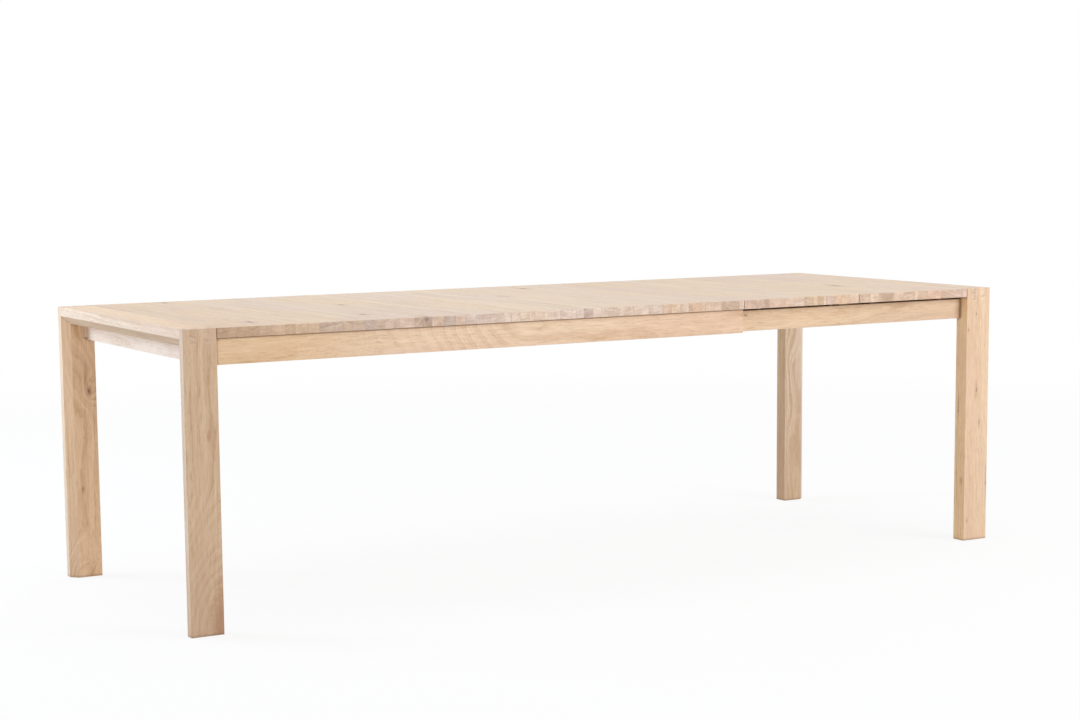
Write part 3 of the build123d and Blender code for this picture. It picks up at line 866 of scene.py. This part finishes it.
@dataclass
class ScrewSet:
    """The wood screws of one node, each with a cross recess and a cut thread."""

    name: str
    node: str
    body: str

    SIZES = {"Run": 0.0, "Head Radius": 4.5 * MM, "Head Height": 3.0 * MM,
             "Shank Radius": 2.25 * MM, "Core Radius": 1.6 * MM, "Pitch": 2.0 * MM}

    @classmethod
    @cache
    def tree(cls) -> Tree:
        """Geometry Nodes tree that puts a screw on every point.

        Returns:
            The tree, built once.
        """
        w = new_tree("wood_screws", "GeometryNodeTree", {
            "Geometry": "Geometry", **dict.fromkeys(cls.SIZES, "Float"), "Metal": "Material",
        }, {"Geometry": "Geometry"})
        points, run, head, tall, shank, core, pitch, metal, _ = w.node("NodeGroupInput").outputs
        under = w.times(tall, -1.0)

        def moved(mesh: Socket, z: Value) -> Socket:
            """Lift a mesh along the screw."""
            return w.out("GeometryNodeTransform", Geometry=mesh, Translation=w.join(0.0, 0.0, z))

        def turned(low: Value, high: Value, start: Value, depth: Value, sides: int) -> Socket:
            """A cone between two radii, from one height to another."""
            return moved(w.out("GeometryNodeMeshCone", fill_type="NGON", Vertices=sides,
                               Radius_Bottom=low, Radius_Top=high, Depth=depth), start)

        def cut(kind: str, **meshes: Value) -> Socket:
            """Join meshes, or cut some out of another."""
            return w.out("GeometryNodeMeshBoolean", operation=kind, solver="EXACT", **meshes)

        crown = turned(w.times(head, 0.6), head, under, w.times(tall, 0.6), 24)
        rim = turned(head, head, w.times(tall, -0.4), w.times(tall, 0.4), 24)
        arms = []
        for sides in ((1.05, 0.22), (0.22, 1.05)):
            size = w.join(*(w.times(head, share) for share in sides), w.times(tall, 1.3))
            arms.append(moved(w.out("GeometryNodeMeshCube", Size=size), under))
        body = w.minus(run, w.times(shank, 2.0))
        thread_run = w.times(body, 0.62)
        coil = w.out("GeometryNodeCurveSpiral", Resolution=10, Start_Radius=core,
                     End_Radius=core, Height=thread_run,
                     Rotations=w.math("DIVIDE", thread_run, pitch))
        ridge = w.out("GeometryNodeCurvePrimitiveCircle", mode="RADIUS", Resolution=3,
                      Radius=w.minus(shank, core))
        thread = w.out("GeometryNodeCurveToMesh", Curve=coil, Profile_Curve=ridge, Fill_Caps=True)
        screw = w.out("GeometryNodeJoinGeometry", [
            cut("DIFFERENCE", Mesh_1=cut("UNION", Mesh=[crown, rim]), Mesh_2=arms),
            turned(core, core, 0.0, body, 12),
            turned(core, 0.0, body, w.times(shank, 2.0), 12),
            moved(thread, w.times(body, 0.36)),
        ])
        turn = w.out("FunctionNodeAlignRotationToVector", axis="Z", Vector=w.stored("heading"))
        copies = w.out("GeometryNodeInstanceOnPoints", Points=points, Instance=screw, Rotation=turn)
        return w.finish(copies, metal)

    def places(self) -> tuple[list[tuple[Vector, Vector]], float]:
        """Seat, heading and length of the screws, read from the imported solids.

        Returns:
            Seats under the heads with headings towards the tips, and the length under the head.
        """
        source = bmesh.new()
        source.from_mesh(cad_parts[self.node].data)
        bmesh.ops.remove_doubles(source, verts=source.verts, dist=1e-5)
        found: list[tuple[Vector, Vector]] = []
        run, tall = 0.0, self.SIZES["Head Height"]
        left = set(source.verts)
        while left:
            island = [left.pop()]
            for vert in island:
                near = {edge.other_vert(vert) for edge in vert.link_edges} & left
                left -= near
                island.extend(near)
            points = [vert.co.copy() for vert in island]
            low, high = (Vector(end(p[i] for p in points) for i in range(3)) for end in (min, max))
            span, middle = high - low, (low + high) / 2
            axis = max(range(3), key=lambda i: span[i])
            widest = max(points, key=lambda p: (p - middle).length - abs(p[axis] - middle[axis]))
            sign = 1.0 if widest[axis] < middle[axis] else -1.0
            heading, seat = Vector(), middle.copy()
            heading[axis] = sign
            seat[axis] = (low if sign > 0 else high)[axis] + sign * tall
            found.append((seat, heading))
            run = max(run, span[axis] - tall)
        source.free()
        return sorted(found, key=lambda screw: tuple(round(c, 4) for c in screw[0])), run

    def build(self) -> None:
        """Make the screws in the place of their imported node."""
        screws, run = self.places()
        mesh = bpy.data.meshes.new(f"{self.name}_seats")
        mesh.from_pydata([tuple(seat) for seat, _ in screws], [], [])
        heading = mesh.attributes.new("heading", "FLOAT_VECTOR", "POINT")
        for point, (_, way) in zip(heading.data, screws):
            point.vector = way
        values = {**self.SIZES, "Run": run, "Metal": ZINC.build()}
        piece = grow(self.name, mesh, self.tree(), values)
        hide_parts(self.node)
        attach(piece, self.body)
        log.info("drove %s: %d screws of %.0f mm", self.name, len(screws), run / MM)


class Side(Enum):
    """The two end frames."""

    LEFT = "left"
    RIGHT = "right"


@dataclass
class EndFrame:
    """Two legs, a cross rail, an end apron and their glue blocks, at one end of the table."""

    side: Side
    boards: dict[str, Board]

    def build(self) -> None:
        """Dress every board of the frame."""
        dress_boards(WHITE_OAK, self.boards, f"{self.side.value}_")


@dataclass
class Underframe:
    """Everything under the top between the end frames: aprons, rails, bearers and blocks."""

    oak: dict[str, Board]
    beech: dict[str, Board]
    nylon: tuple[str, ...]

    def build(self) -> None:
        """Dress the boards, strips and glides."""
        dress_boards(WHITE_OAK, self.oak)
        dress_boards(BEECH, self.beech)
        for name in self.nylon:
            dress(name, NYLON.build())


@dataclass(frozen=True)
class Lamp:
    """A soft square lamp that shines on the table without a glare of its own."""

    name: str
    place: Triple
    size: float
    watts: float
    tint: Triple = WHITE
    aim: Triple = (0.0, 0.0, 0.55)

    def build(self) -> None:
        """Hang the lamp."""
        data = bpy.data.lights.new(self.name, "AREA")
        data.energy = self.watts
        data.size = self.size
        data.color = self.tint
        lamp = put(self.name, data)
        lamp.location = self.place
        lamp.rotation_mode = "QUATERNION"
        lamp.rotation_quaternion = (Vector(self.aim) - Vector(self.place)).to_track_quat("-Z", "Y")
        lamp.visible_glossy = False


@dataclass
class Studio:
    """Pale floor, white surroundings, soft lamps and the camera."""

    lamps: tuple[Lamp, ...]
    ambient: float = 0.60
    floor_size: float = 60.0
    floor_colour: Triple = (0.93, 0.93, 0.93)
    floor_bounce: Triple = (0.75, 0.74, 0.73)
    floor_lift: float = 0.86
    fade_start: float = 2.0
    fade_end: float = 6.0
    camera_place: Triple = (-3.1763, -5.4230, 1.1838)
    yaw: float = 0.5289
    pitch: float = -0.1299
    roll: float = -0.0084
    lens: float = 73.80
    lens_shift: float = 0.0665

    @staticmethod
    def seen_share(w: Wiring) -> Socket:
        """1 for rays that show the surroundings, straight, in gloss or through glass."""
        rays, kinds = w.node("LightPath").outputs, ("Camera", "Glossy", "Transmission")
        return reduce(w.larger, (rays[f"Is {kind} Ray"] for kind in kinds))

    def build_world(self) -> None:
        """White surroundings that also give a part of the light."""
        world = bpy.data.worlds.new("studio")
        w = Wiring.of(world)
        strength = w.weigh(self.ambient, (self.seen_share(w), 1.0 - self.ambient))
        w.node("OutputWorld", Surface=w.out("Background", Color=WHITE, Strength=strength))
        bpy.context.scene.world = world

    def build_floor(self) -> None:
        """Pale floor that keeps a soft shadow near the table and fades to white round it.

        Seen from below it is clear, so that the underside of the table shows.
        """
        half = self.floor_size / 2
        mesh = bpy.data.meshes.new("floor")
        corners = [(-half, -half, 0), (half, -half, 0), (half, half, 0), (-half, half, 0)]
        mesh.from_pydata(corners, [], [(0, 1, 2, 3)])
        material = bpy.data.materials.new("pale_floor")
        w = Wiring.of(material)
        here, seen = w.here(), self.seen_share(w)
        paler = tuple(min(1.0, c * 1.01) for c in self.floor_colour)
        pale = w.mix(w.plus(w.noise(here, (3, 3, 3), 3.0), 0.5), self.floor_colour, paler)
        matt = w.out("BsdfDiffuse", Color=w.mix(seen, self.floor_bounce, pale))
        away = w.vector("LENGTH", here)
        fade = w.smooth(away, self.fade_start, self.fade_end, self.floor_lift, 1.0)
        shown = w.out("MixShader", w.times(fade, seen), matt, w.out("Emission", Color=WHITE))
        under = w.times(w.node("NewGeometry").outputs["Backfacing"],
                        w.node("LightPath").outputs["Is Camera Ray"])
        w.node("OutputMaterial", Surface=w.out("MixShader", under, shown, w.out("BsdfTransparent")))
        mesh.materials.append(material)
        floor = put("floor", mesh)

    def build_camera(self) -> None:
        """Camera at the height of a standing person's chest, to the left of the front."""
        side, ahead = math.sin(self.yaw), math.cos(self.yaw)
        flat = math.cos(self.pitch)
        forward = Vector((side * flat, ahead * flat, math.sin(self.pitch)))
        level = Vector((ahead, -side, 0.0))
        upright = level.cross(forward)
        right = math.cos(self.roll) * level + math.sin(self.roll) * upright
        up = math.cos(self.roll) * upright - math.sin(self.roll) * level
        data = bpy.data.cameras.new("camera")
        data.sensor_width = 36.0
        data.lens = self.lens
        data.shift_y = self.lens_shift
        camera = put("camera", data)
        turn = Matrix((right, up, -forward)).transposed()
        camera.matrix_world = Matrix.Translation(self.camera_place) @ turn.to_4x4()
        bpy.context.scene.camera = camera

    def build(self) -> None:
        """Set up the whole studio."""
        self.build_world()
        self.build_floor()
        for lamp in self.lamps:
            lamp.build()
        self.build_camera()
        bpy.context.scene.view_settings.view_transform = "Standard"
        log.info("studio ready with %d lamps", len(self.lamps))


X, Y, Z = Grain
OUT_LEFT = (-1.0, 0.0, 0.0)
TOP = 0.75
FRONT = -0.465
BACK = 0.42
FIXED_STAVES = (
    "21U 32U 30U 25U 32B 37T 26B 32T 33T 41G 22G 27T 34T 24G 28T 40S 44S 23T 26U 34S 33G "
    "29S 31L 21L 59L 23C 25C 26C 18L 39C 38C 49C 22C 27M 27C 48L 25L 26L 50L 44L 27P 30S "
    "26L 55P 28S 25S 58B 10S 6C"
)
INNER_STAVES = "39P 27T 16B 55P 33S 33L 31T 14S 21T 10S 27M 25P 31P 32S"
OUTER_STAVES = "38T 31S 29B 24U 36S 41T 13S 33B 50P 79T 18P"
TOPS = (
    PlankTop("fixed_top_staves", "fixed_top", "fixed_table", FIXED_STAVES, seed=3, knots=(
        Knot((-0.968, 0.42, TOP), 11),
        Knot((-0.6, 0.054, TOP), 8),
        Knot((-0.702, -0.294, TOP), 10),
        Knot((-1.038, -0.345, TOP), 10, 0.9),
        Knot((-0.6, -0.44, TOP), 9, 0.5),
        Knot((-0.608, -0.466, 0.745), 8, 0.5, stain=0.2, stretch=1.0),
        Knot((0.135, 0.339, TOP), 11),
        Knot((-0.082, 0.075, TOP), 8, 0.2),
    ), casts=(Cast((1.01, 0.97, 0.925), stretch=(-0.7, -1.15)),)),
    PlankTop("inner_leaf_staves", "inner_leaf_panel", "inner_leaf", INNER_STAVES, seed=8),
    PlankTop("outer_leaf_staves", "outer_leaf_panel", "outer_leaf", OUTER_STAVES, seed=5,
             knots=(Knot((0.948, -0.135, TOP), 14, 0.9),),
             casts=(Cast((1.02, 1.01, 1.055), stretch=(0.85, 1.1)),)),
)
FRAMES = (
    EndFrame(Side.LEFT, {
        # Painted light makes its left face paler and bluer; painted shade darkens its lower end and
        # warms the lower end of its left face.
        "front_leg": Board(Z, (0.15, 0.05), 0.3, (0.87, 0.834, 0.762), wave=0.7, casts=(
            Cast((1.1, 1.2, 1.34), OUT_LEFT),
            Cast((0.935, 0.925, 0.94), stretch=(0.35, 0.0)),
            Cast((0.99, 0.93, 0.82), OUT_LEFT, (0.35, 0.0)),
        ), drifts=(Drift(0.0, 0.4, 26.0),), knots=(
            Knot((-1.174, FRONT, 0.03), 16, 0.0, 0.7, 3.5, rings=0.0),
            Knot((-1.201, FRONT, 0.49), 3, 0.0, 0.5, rings=0.0),
        )),
        # Painted light makes its left face paler and bluer; painted shade darkens its lower end.
        "back_leg": Board(Z, (-0.13, -0.04), 1.9, (1.14, 1.06, 0.92), wave=1.5, figure=1.2, casts=(
            Cast((0.92, 1.05, 1.2), OUT_LEFT),
            Cast((0.9, 0.89, 0.9), stretch=(0.45, 0.0)),
        ), drifts=(Drift(0.42, 0.7, 14.0), Drift(0.0, 0.14, -14.0)), knots=(
            Knot((-1.1945, BACK, 0.517), 4, stain=0.7, stretch=1.8, rings=7.0, reach=9.0),
            Knot((-1.203, BACK, 0.56), 3, 0.0, stretch=8.0, rings=0.0),
            Knot((-1.2215, BACK, 0.247), 2.5, 0.15, 0.6, rings=0.0),
            Knot((-1.203, BACK, 0.08), 34, 0.0, 0.0, 1.6, 10.0, 1.0),
        )),
        # Painted light makes its left face paler and bluer; painted shade darkens the bevel that
        # looks down and out.
        "cross_rail": Board(Y, (0.03, -0.11), 3.1, (1.02, 1.04, 1.03), (0.97, 0.9, 0.8), casts=(
            Cast((1.05, 1.09, 1.18), OUT_LEFT),
            Cast((0.78, 0.74, 0.68), (-1.0, 0.0, -1.0)),
        )),
        # Its pale blue tint is painted light from the lamp at the left.
        "end_apron": Board(Y, (-0.09, 0.012), 4.7, (1.13, 1.3, 1.52)),
        "glue_blocks": Board(Z, (0.04, 0.03), 5.2, (0.95, 0.9, 0.82)),
    }),
    EndFrame(Side.RIGHT, {
        # Painted light lifts its shaded left face; painted shade darkens that face towards the
        # bottom.
        "front_leg": Board(Z, (0.1, -0.012), 6.4, (1.0, 0.985, 0.945), figure=0.7, casts=(
            Cast((1.34, 1.33, 1.18), OUT_LEFT),
            Cast((0.83, 0.79, 0.74), OUT_LEFT, (0.6, 0.1)),
        ), knots=(
            Knot((1.21, FRONT, 0.674), 1.6, 0.5, rings=1.0),
            Knot((1.181, FRONT, 0.627), 1.8, 0.6, rings=1.0),
            Knot((1.2145, FRONT, 0.451), 2.1, 1.0, stretch=6.0, rings=1.0),
            Knot((1.227, FRONT, 0.351), 2.0, 0.6, stretch=5.5, rings=1.0),
            Knot((1.186, FRONT, 0.06), 2.0, 0.4, rings=1.0),
            Knot((1.258, -0.464, 0.17), 3.0, 0.4, stretch=9.0, rings=1.0),
            Knot((1.174, -0.433, 0.395), 2.2, 0.5, stretch=9.0, rings=2.0),
            Knot((1.174, -0.45, 0.18), 2.2, 0.7, stretch=3.0, rings=1.0),
        )),
        # Painted shade darkens its left face and its lower end; painted light makes the lower part
        # of its left face paler and bluer.
        "back_leg": Board(Z, (0.09, 0.012), 7.7, (0.95, 1.02, 1.07), wave=2.8, figure=1.5, casts=(
            Cast((0.75, 0.64, 0.5), OUT_LEFT),
            Cast((0.9, 0.83, 0.74), stretch=(0.45, 0.05)),
            Cast((1.06, 1.12, 1.2), OUT_LEFT, (0.45, 0.05)),
        )),
        "cross_rail": Board(Y, (-0.02, -0.105), 8.8, (0.93, 0.98, 1.03), (1.16, 1.13, 1.06), knots=(
            Knot((1.198, FRONT, 0.735), 16, 0.3, 0.0, 1.0, 0.0),
        )),
        "end_apron": Board(Y, (0.09, -0.01), 9.6),
        "glue_blocks": Board(Z, (0.04, -0.03), 10.5),
    }),
)
UNDERFRAME = Underframe(
    oak={
        "front_apron": Board(
            # full painted shade under the top's overhang
            X, (0.26, -0.03), 11.3, (1.11, 1.11, 1.1), figure=0.8, painted_shade=1.0, casts=(
                Cast((0.96, 0.92, 0.8), stretch=(-0.7, -1.0)),
                Cast((0.93, 0.89, 0.88), stretch=(-0.2, 0.15)),
            ), drifts=(Drift(-0.8, -0.3, -30.0),),
            knots=(Knot((-0.85, -0.46, 0.69), 50, 0.0, 0.0, 2.4, 9.0, 1.0),),
        ),
        "back_apron": Board(X, (-0.085, -0.01), 12.1),
        "front_sliding_rail": Board(
            X, (0.15, -0.03), 13.4, (0.99, 0.975, 0.92), wave=0.6, figure=0.7, painted_shade=0.8,
            casts=(Cast((0.94, 0.94, 0.95), stretch=(0.65, 0.95)),),
            drifts=(Drift(0.7, 1.1, 5.0),),
            knots=(Knot((0.399, -0.436, 0.706), 2.8, 0.9, rings=2.0),),
        ),
        "back_sliding_rail": Board(X, (-0.1, 0.02), 14.2),
    },
    beech={name: Board(grain, (across, through), slide) for name, grain, across, through, slide in (
        ("front_guide_rail", X, 0.05, 0.02, 15.0),
        ("back_guide_rail", X, -0.05, 0.015, 16.0),
        ("front_tongue", X, 0.04, 0.03, 17.0),
        ("back_tongue", X, -0.04, 0.03, 18.0),
        ("slider_tie", Y, 0.02, -0.06, 19.0),
        ("left_corner_blocks", Z, 0.03, 0.03, 24.0),
        ("right_corner_blocks", Z, 0.03, -0.03, 25.0),
        ("top_dowels", X, 0.01, 0.02, 26.0),
        ("inner_leaf_battens", X, 0.02, -0.06, 27.0),
        ("outer_leaf_battens", X, -0.02, -0.06, 28.0),
        ("inner_leaf_pegs", Z, 0.02, 0.01, 29.0),
        ("outer_leaf_pegs", Z, -0.02, 0.01, 30.0),
        *((f"top_bearer_{i + 1}", Y, 0.02 - 0.012 * i, -0.05, 20.0 + i) for i in range(4)),
    )},
    nylon=("apron_wear_strips", "slider_wear_strips", "left_glides", "right_glides"),
)
SCREWS = tuple(
    ScrewSet(f"{node}_threaded", node, body)
    for body, nodes in (
        ("fixed_table", ("apron_screws", "bearer_screws", "left_corner_screws")),
        ("pull_out_end", ("tie_screws", "right_corner_screws")),
        ("inner_leaf", ("inner_leaf_screws",)),
        ("outer_leaf", ("outer_leaf_screws",)),
    )
    for node in nodes
)
STUDIO = Studio(lamps=(
    Lamp("side", (-4.2, 2.8, 1.9), 2.0, 104.0, (0.87, 1.06, 1.34)),
    Lamp("fill", (3.6, -4.9, 2.6), 3.0, 161.0),
    Lamp("top", (0.0, 0.5, 4.2), 3.5, 37.0),
))


def main() -> None:
    """Dress the table and set up the studio."""
    for piece in (*TOPS, *FRAMES, UNDERFRAME, *SCREWS, STUDIO):
        piece.build()


if __name__ == "__main__":
    main()
